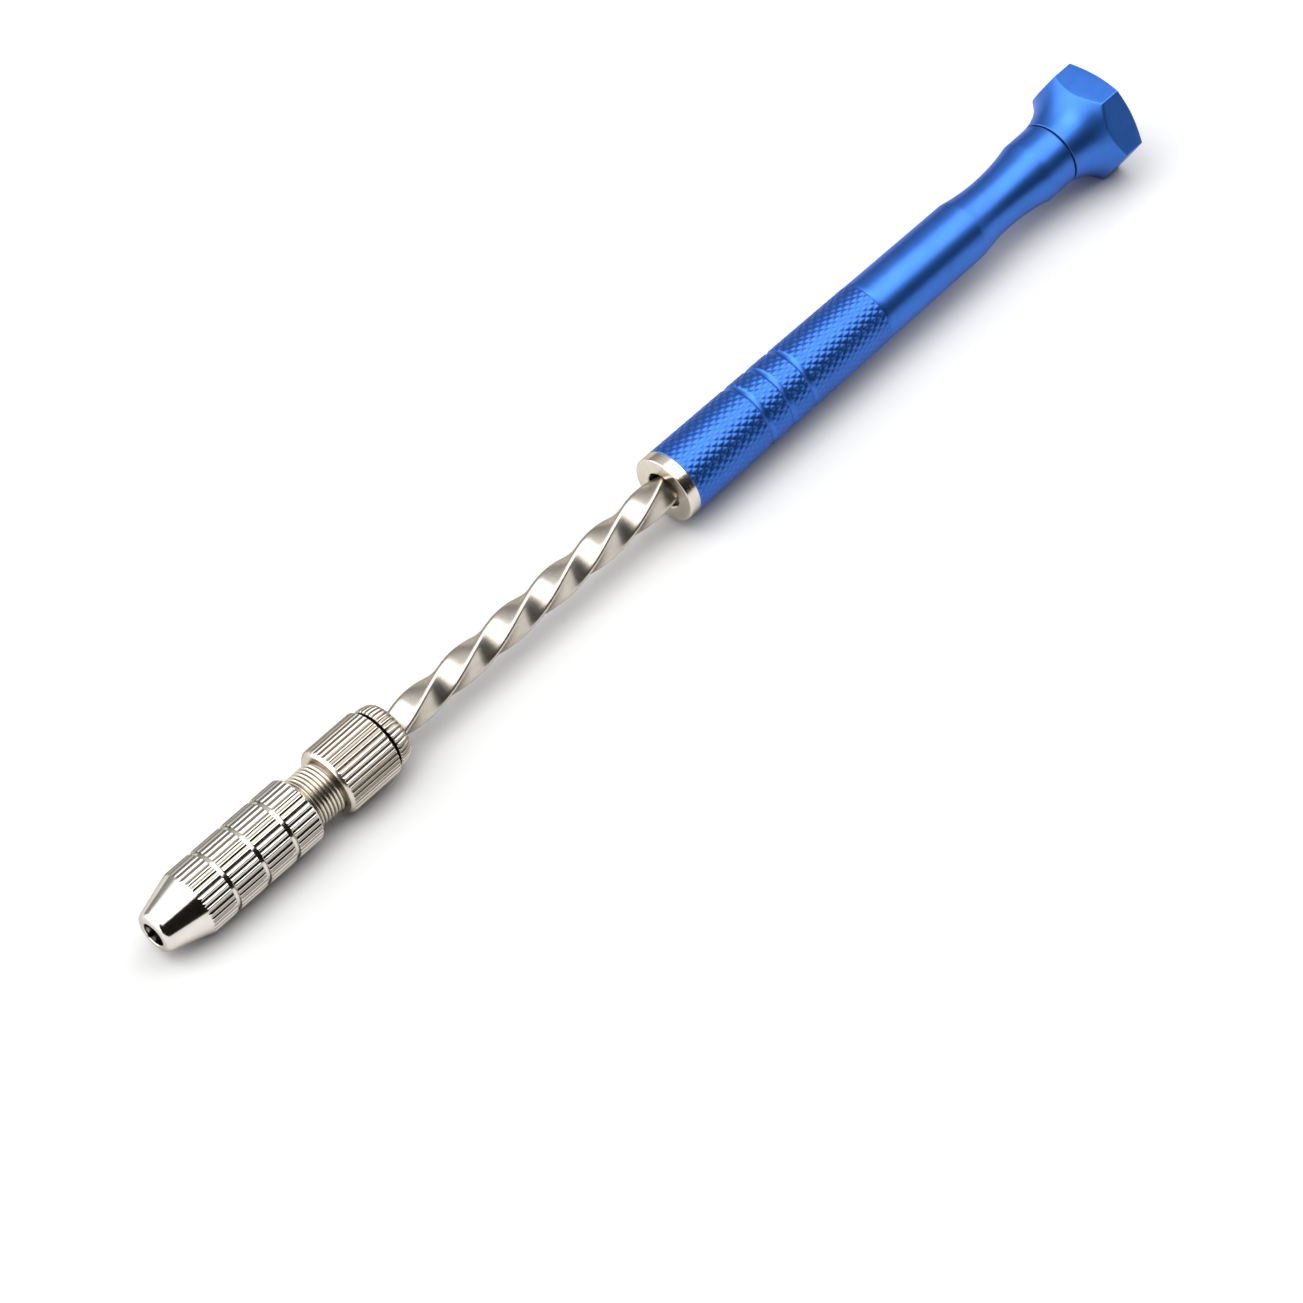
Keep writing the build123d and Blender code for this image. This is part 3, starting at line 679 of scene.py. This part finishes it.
def head_piece():
    """Hexagonal head: a turned flare that runs out into six flats, then a shallow end chamfer."""
    angles, flat = hexagon_columns()
    skin = Skin(angles)
    edge = flare_station(flat)
    bevel = 0.08
    skin.ring(HEAD_START, PIVOT_RADIUS + 0.1)
    skin.ring(HEAD_START, flare_radius(HEAD_START) - bevel)
    start = HEAD_START + bevel
    for share in np.linspace(0, 1, 20):
        x = start + (edge - 0.12 - start) * share
        skin.ring(x, np.array([flare_radius(value) for value in x]))
    skin.ring(edge - 0.04, np.array([flare_radius(value) for value in edge - 0.04]) - 0.018)
    skin.ring(edge + 0.05, flat - 0.015)
    chamfer_slope = (HEAD_CORNER - HEAD_FLAT + 0.1) / HEAD_CHAMFER
    chamfer = HEAD_END - HEAD_CHAMFER + (HEAD_CORNER - flat) / chamfer_slope
    for share in np.linspace(0, 1, 6):
        x = (edge + 0.16) + (chamfer - 0.12 - edge - 0.16) * share
        skin.ring(x, flat)
    skin.ring(chamfer - 0.03, flat - 0.012)
    skin.ring(np.minimum(chamfer + 0.05, HEAD_END - 0.04), flat - 0.05 * chamfer_slope - 0.012)
    end_radius = HEAD_FLAT - 0.1
    skin.ring(HEAD_END - 0.03, end_radius + 0.02)
    skin.ring(HEAD_END, end_radius - 0.05)
    for r in (7.5, 5.0, 2.5, 0.0):
        skin.ring(HEAD_END, r)
    inside = PIVOT_END + 0.4
    skin.ring(inside, 0.0)
    skin.ring(inside, PIVOT_RADIUS)
    skin.ring(HEAD_START + 0.1, PIVOT_RADIUS)
    piece = skin.piece("hexagon_head", smooth_angle=24.0)
    return place(piece, "head", "blue_anodised", materials["blue_anodised"], "hex_head")


# ---------------------------------------------------------------- springs
def spring_piece():
    """Return spring, built as a fixed coil; the real one shortens towards the top of the handle as the
    shaft slides in.
    """
    per_turn = 28
    round_wire = 10
    steps = SPRING_TURNS * per_turn
    rise = SPRING_END - SPRING_START - 2 * SPRING_WIRE
    points = []
    for step in range(steps + 1):
        turn = 2 * math.pi * step / per_turn
        centre = np.array((
            SPRING_START + SPRING_WIRE + rise * step / steps,
            SPRING_RADIUS * math.cos(turn),
            SPRING_RADIUS * math.sin(turn),
        ))
        outward = np.array((0, math.cos(turn), math.sin(turn)))
        stride = SPRING_RADIUS * 2 * math.pi / per_turn
        along = np.array((rise / steps, -stride * math.sin(turn), stride * math.cos(turn)))
        across = np.cross(outward, along / np.linalg.norm(along))
        for k in range(round_wire):
            angle = 2 * math.pi * k / round_wire
            points.append(centre + SPRING_WIRE * (math.cos(angle) * outward + math.sin(angle) * across))
    faces = grid_faces(steps + 1, round_wire, False, True)
    faces.append(tuple(range(round_wire)))
    faces.append(tuple(steps * round_wire + k for k in reversed(range(round_wire))))
    piece = finished("coil_spring", np.array(points), faces, np.zeros(len(points)), 60.0)
    place(piece, "handle", "spring_steel", materials["spring_steel"], "return_spring")
    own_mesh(piece)
    return piece


# ---------------------------------------------------------------- materials
def new_material(name):
    """A material with its node tree and the Principled shader in it."""
    material = bpy.data.materials.new(name)
    material.use_nodes = True
    tree = material.node_tree
    return material, tree, tree.nodes["Principled BSDF"]


def add(tree, kind, **values):
    """A new node with settings and plain input values; an input's name has _ for its spaces."""
    node = tree.nodes.new(kind)
    for key, value in values.items():
        label = key.replace("_", " ").title() if key[0].isupper() else key
        if key[0].isupper():
            node.inputs[label].default_value = value
        else:
            setattr(node, key, value)
    return node


def axis_places(tree, along, across):
    """Object coordinates in metres times a scale along the tool's axis and across it."""
    coordinates = add(tree, "ShaderNodeTexCoord")
    scale = add(tree, "ShaderNodeMapping")
    scale.inputs["Scale"].default_value = (along, across, across)
    tree.links.new(coordinates.outputs["Object"], scale.inputs["Vector"])
    return scale.outputs["Vector"]


def noise(tree, vector, detail=3.0, roughness=0.5):
    """Grey noise at already scaled places."""
    node = add(tree, "ShaderNodeTexNoise", Scale=1.0, Detail=detail, Roughness=roughness)
    tree.links.new(vector, node.inputs["Vector"])
    return node.outputs["Fac"]


def ramp(tree, value, *stops):
    """Colour or grey from a value, through (position, colour) stops."""
    node = add(tree, "ShaderNodeValToRGB")
    elements = node.color_ramp.elements
    while len(elements) < len(stops):
        elements.new(0.5)
    for element, (position, colour) in zip(elements, stops):
        element.position = position
        shade = colour if isinstance(colour, tuple) else (colour, colour, colour)
        element.color = (*shade, 1.0)
    tree.links.new(value, node.inputs["Fac"])
    return node.outputs["Color"]


def mix(tree, factor, first, second, blend_type="MIX"):
    """Mix of two colours; factor and the colours may be sockets or values."""
    node = add(tree, "ShaderNodeMix", data_type="RGBA", blend_type=blend_type)
    for index, value in ((0, factor), (6, first), (7, second)):
        if isinstance(value, bpy.types.NodeSocket):
            tree.links.new(value, node.inputs[index])
        elif isinstance(value, tuple):
            node.inputs[index].default_value = (*value, 1.0)
        else:
            node.inputs[index].default_value = value
    return node.outputs[2]


def bump(tree, height, distance, strength, normal=None):
    """Normal from a height, with its distance in metres; it may add to another bump's normal."""
    node = add(tree, "ShaderNodeBump", Strength=strength, Distance=distance)
    tree.links.new(height, node.inputs["Height"])
    if normal is not None:
        tree.links.new(normal, node.inputs["Normal"])
    return node.outputs["Normal"]


def metal(
    name, light, dark, edge, valley_shade_colour, smooth, rough, line_depth, line_scale, speckle=20 * MICRON
):
    """Turned metal: tone and gloss vary in fine rings; the grooves get painted shade, near black in the
    deepest gaps, and are duller.
    """
    material, tree, shader = new_material(name)
    shader.inputs["Metallic"].default_value = 1.0
    shader.inputs["Specular Tint"].default_value = (*edge, 1.0)
    lines = noise(tree, axis_places(tree, line_scale, line_scale * 0.02), 4.0, 0.65)
    cloud = noise(tree, axis_places(tree, 260.0, 420.0), 5.0, 0.6)
    grain = noise(tree, axis_places(tree, 5200.0, 5200.0), 2.0, 0.5)
    tone = ramp(tree, cloud, (0.32, dark), (0.68, light))
    # Painted shade: points with a high cavity value are darkened towards a shade colour, and the deepest
    # gaps nearly to black.
    cavity = add(tree, "ShaderNodeAttribute", attribute_name="cavity")
    valley = ramp(tree, cavity.outputs["Fac"], (0.25, 0.0), (0.8, 1.0))
    gap = ramp(tree, cavity.outputs["Fac"], (0.82, 0.0), (0.98, 1.0))
    shade_painted_tone = mix(tree, gap, mix(tree, valley, tone, valley_shade_colour), (0.03, 0.025, 0.02))
    tree.links.new(shade_painted_tone, shader.inputs["Base Color"])
    gloss = ramp(tree, lines, (0.3, smooth), (0.75, rough))
    duller = mix(tree, cavity.outputs["Fac"], gloss, (rough * 1.25,) * 3)
    tree.links.new(duller, shader.inputs["Roughness"])
    turned = bump(tree, lines, line_depth, 0.6)
    tree.links.new(bump(tree, grain, speckle, 0.35, turned), shader.inputs["Normal"])
    return material


def blue_anodised():
    """Satin blue anodised aluminium with turning lines; its knurl grooves are darkened with painted shade.
    """
    material, tree, shader = new_material("blue_anodised")
    shader.inputs["Metallic"].default_value = 1.0
    shader.inputs["Specular Tint"].default_value = (0.40, 0.45, 0.75, 1.0)
    shader.inputs["Coat Weight"].default_value = 0.4
    shader.inputs["Coat Roughness"].default_value = 0.3
    lines = noise(tree, axis_places(tree, 9000.0, 60.0), 4.0, 0.7)
    cloud = noise(tree, axis_places(tree, 180.0, 300.0), 5.0, 0.55)
    grain = noise(tree, axis_places(tree, 7000.0, 7000.0), 2.0, 0.5)
    tone = ramp(tree, cloud, (0.3, (0.025, 0.134, 0.51)), (0.7, (0.033, 0.158, 0.59)))
    # Painted shade: deep blue mixed in by the cavity value darkens the knurl grooves.
    cavity = add(tree, "ShaderNodeAttribute", attribute_name="cavity")
    groove_shade_mask = ramp(tree, cavity.outputs["Fac"], (0.1, 0.0), (0.9, 0.55))
    groove_shaded_tone = mix(tree, groove_shade_mask, tone, (0.012, 0.075, 0.36))
    tree.links.new(groove_shaded_tone, shader.inputs["Base Color"])
    tree.links.new(ramp(tree, lines, (0.3, 0.34), (0.75, 0.44)), shader.inputs["Roughness"])
    turned = bump(tree, lines, 12 * MICRON, 0.5)
    tree.links.new(bump(tree, grain, 10 * MICRON, 0.4, turned), shader.inputs["Normal"])
    return material


def dark_washer():
    """Matt dark blue washer with a faint grain."""
    material, tree, shader = new_material("dark_washer")
    grain = noise(tree, axis_places(tree, 3000.0, 3000.0), 4.0, 0.6)
    tone = ramp(tree, grain, (0.3, (0.008, 0.022, 0.09)), (0.7, (0.014, 0.035, 0.13)))
    tree.links.new(tone, shader.inputs["Base Color"])
    shader.inputs["Roughness"].default_value = 0.7
    tree.links.new(bump(tree, grain, 30 * MICRON, 0.4), shader.inputs["Normal"])
    return material


materials = {
    "polished_nickel": metal(
        "polished_nickel",
        light=(0.77, 0.74, 0.69), dark=(0.69, 0.66, 0.61),
        edge=(0.62, 0.58, 0.52), valley_shade_colour=(0.36, 0.33, 0.29),
        smooth=0.08, rough=0.15,
        line_depth=4 * MICRON, line_scale=7000.0, speckle=6 * MICRON,
    ),
    "satin_nickel": metal(
        "satin_nickel",
        light=(0.76, 0.71, 0.63), dark=(0.66, 0.61, 0.53),
        edge=(0.55, 0.5, 0.43), valley_shade_colour=(0.3, 0.26, 0.21),
        smooth=0.16, rough=0.26,
        line_depth=10 * MICRON, line_scale=6000.0, speckle=10 * MICRON,
    ),
    "shaft_steel": metal(
        "shaft_steel",
        light=(0.64, 0.59, 0.52), dark=(0.5, 0.46, 0.4),
        edge=(0.5, 0.45, 0.39), valley_shade_colour=(0.5, 0.47, 0.43),
        smooth=0.26, rough=0.36,
        line_depth=8 * MICRON, line_scale=900.0, speckle=12 * MICRON,
    ),
    "tool_steel": metal(
        "tool_steel",
        light=(0.47, 0.45, 0.43), dark=(0.36, 0.34, 0.32),
        edge=(0.5, 0.5, 0.5), valley_shade_colour=(0.3, 0.28, 0.26),
        smooth=0.25, rough=0.4,
        line_depth=10 * MICRON, line_scale=6000.0,
    ),
    "spring_steel": metal(
        "spring_steel",
        light=(0.46, 0.46, 0.48), dark=(0.34, 0.34, 0.36),
        edge=(0.5, 0.5, 0.5), valley_shade_colour=(0.3, 0.3, 0.3),
        smooth=0.22, rough=0.38,
        line_depth=10 * MICRON, line_scale=3000.0,
    ),
    "brass": metal(
        "brass",
        light=(0.8, 0.6, 0.28), dark=(0.7, 0.5, 0.22),
        edge=(0.8, 0.7, 0.5), valley_shade_colour=(0.5, 0.36, 0.15),
        smooth=0.18, rough=0.32,
        line_depth=10 * MICRON, line_scale=6000.0,
    ),
    "blue_anodised": blue_anodised(),
    "dark_washer": dark_washer(),
}

for build in (sleeve_piece, thread_piece, body_piece, collar_piece, shaft_piece, ferrule_piece,
              tube_piece, head_piece, spring_piece):
    build()

slot_of = {part["node"]: part["material_slot"] for part in frame["record"]["subparts"]}
for node, item in frame["nodes"].items():
    if not item.hide_render:
        item.data.materials.clear()
        item.data.materials.append(materials[slot_of[node]])


# ---------------------------------------------------------------- studio
DARK_SIDE = (-0.255, -0.946, 0.200)
LIGHT_SIDE = (-0.86, 0.20, 0.47)
CAMERA_AIM = Vector((90.37, -14.07, -11.32))
CAMERA_HEADING = math.radians(42.833)
CAMERA_DOWN = math.radians(55.533)
CAMERA_TURN = math.radians(6.5)     # further round the tool's axis, towards its right-hand side
CAMERA_DISTANCE = 791.9
CAMERA_LENS = 140.68


def floor_piece():
    """Wide pale floor that touches the chuck's knurl and the flat of the head."""
    front = Vector((CONE_END, 0, -SLEEVE_RADIUS))
    back = Vector((HEAD_END - HEAD_CHAMFER - HEAD_EDGE_LENGTH, 0, -HEAD_FLAT))
    tilt = math.atan2(front.z - back.z, back.x - front.x)
    reach = 4.0
    mesh = bpy.data.meshes.new("floor")
    corners = [(-reach, -reach, 0), (reach, -reach, 0), (reach, reach, 0), (-reach, reach, 0)]
    mesh.from_pydata(corners, [], [(0, 1, 2, 3)])
    floor = bpy.data.objects.new("floor", mesh)
    floor.matrix_world = Matrix.Translation(front * MM) @ Matrix.Rotation(tilt, 4, "Y")
    bpy.context.scene.collection.objects.link(floor)
    material, tree, shader = new_material("pale_floor")
    cloud = noise(tree, axis_places(tree, 9.0, 9.0), 3.0, 0.5)
    tree.links.new(ramp(tree, cloud, (0.3, 0.62), (0.7, 0.64)), shader.inputs["Base Color"])
    shader.inputs["Roughness"].default_value = 0.8
    mesh.materials.append(material)


def soft_light(name, place_at, aim, length, width, power):
    """A rectangular softbox in millimetres that faces a point, its length along the tool."""
    back = (Vector(place_at) - Vector(aim)).normalized()
    across = back.cross(Vector((1, 0, 0))).normalized()
    along = across.cross(back)
    data = bpy.data.lights.new(name, "AREA")
    data.shape = "RECTANGLE"
    data.size = length * MM
    data.size_y = width * MM
    data.energy = power
    light = bpy.data.objects.new(name, data)
    turn = Matrix((along, across, back)).transposed()
    light.matrix_world = Matrix.Translation(Vector(place_at) * MM) @ turn.to_4x4()
    bpy.context.scene.collection.objects.link(light)


def towards(tree, places, direction):
    """How far each direction of the surround points towards a given one, from -1 to 1."""
    node = add(tree, "ShaderNodeVectorMath", operation="DOT_PRODUCT")
    tree.links.new(places, node.inputs[0])
    node.inputs[1].default_value = direction
    return node.outputs["Value"]


def studio_world():
    """Surround that is light overhead and grey low down, with a light side and a dark one."""
    world = bpy.data.worlds.new("studio")
    bpy.context.scene.world = world
    world.use_nodes = True
    tree = world.node_tree
    background = tree.nodes["Background"]
    places = add(tree, "ShaderNodeTexCoord").outputs["Generated"]
    parts = add(tree, "ShaderNodeSeparateXYZ")
    tree.links.new(places, parts.inputs["Vector"])
    height = ramp(tree, parts.outputs["Z"], (0.0, 0.30), (0.30, 0.38), (0.62, 0.68), (0.85, 0.85))
    light = ramp(tree, towards(tree, places, LIGHT_SIDE), (0.45, 0.0), (0.66, 1.0))
    dark = ramp(tree, towards(tree, places, DARK_SIDE), (0.40, 0.0), (0.53, 1.0))
    lit = mix(tree, light, height, (2.8, 2.8, 2.8))
    tree.links.new(mix(tree, dark, lit, (0.012, 0.010, 0.009)), background.inputs["Color"])
    background.inputs["Strength"].default_value = 1.0


def camera():
    """Camera that looks down at the tool from in front of the chuck."""
    forward = Vector((
        math.cos(CAMERA_HEADING) * math.cos(CAMERA_DOWN),
        math.sin(CAMERA_HEADING) * math.cos(CAMERA_DOWN),
        -math.sin(CAMERA_DOWN),
    ))
    data = bpy.data.cameras.new("camera")
    data.lens = CAMERA_LENS
    data.sensor_width = 36.0
    data.clip_start = 0.05
    data.clip_end = 20.0
    item = bpy.data.objects.new("camera", data)
    place_at = Matrix.Translation((CAMERA_AIM - forward * CAMERA_DISTANCE) * MM)
    facing = forward.to_track_quat("-Z", "Y").to_matrix().to_4x4()
    item.matrix_world = Matrix.Rotation(CAMERA_TURN, 4, "X") @ place_at @ facing
    bpy.context.scene.collection.objects.link(item)
    bpy.context.scene.camera = item


floor_piece()
studio_world()
soft_light("key_softbox", place_at=(379, -90, 880), aim=(100, 0, 0), length=1700, width=940, power=11.2)
camera()
bpy.context.scene.view_settings.view_transform = "Standard"
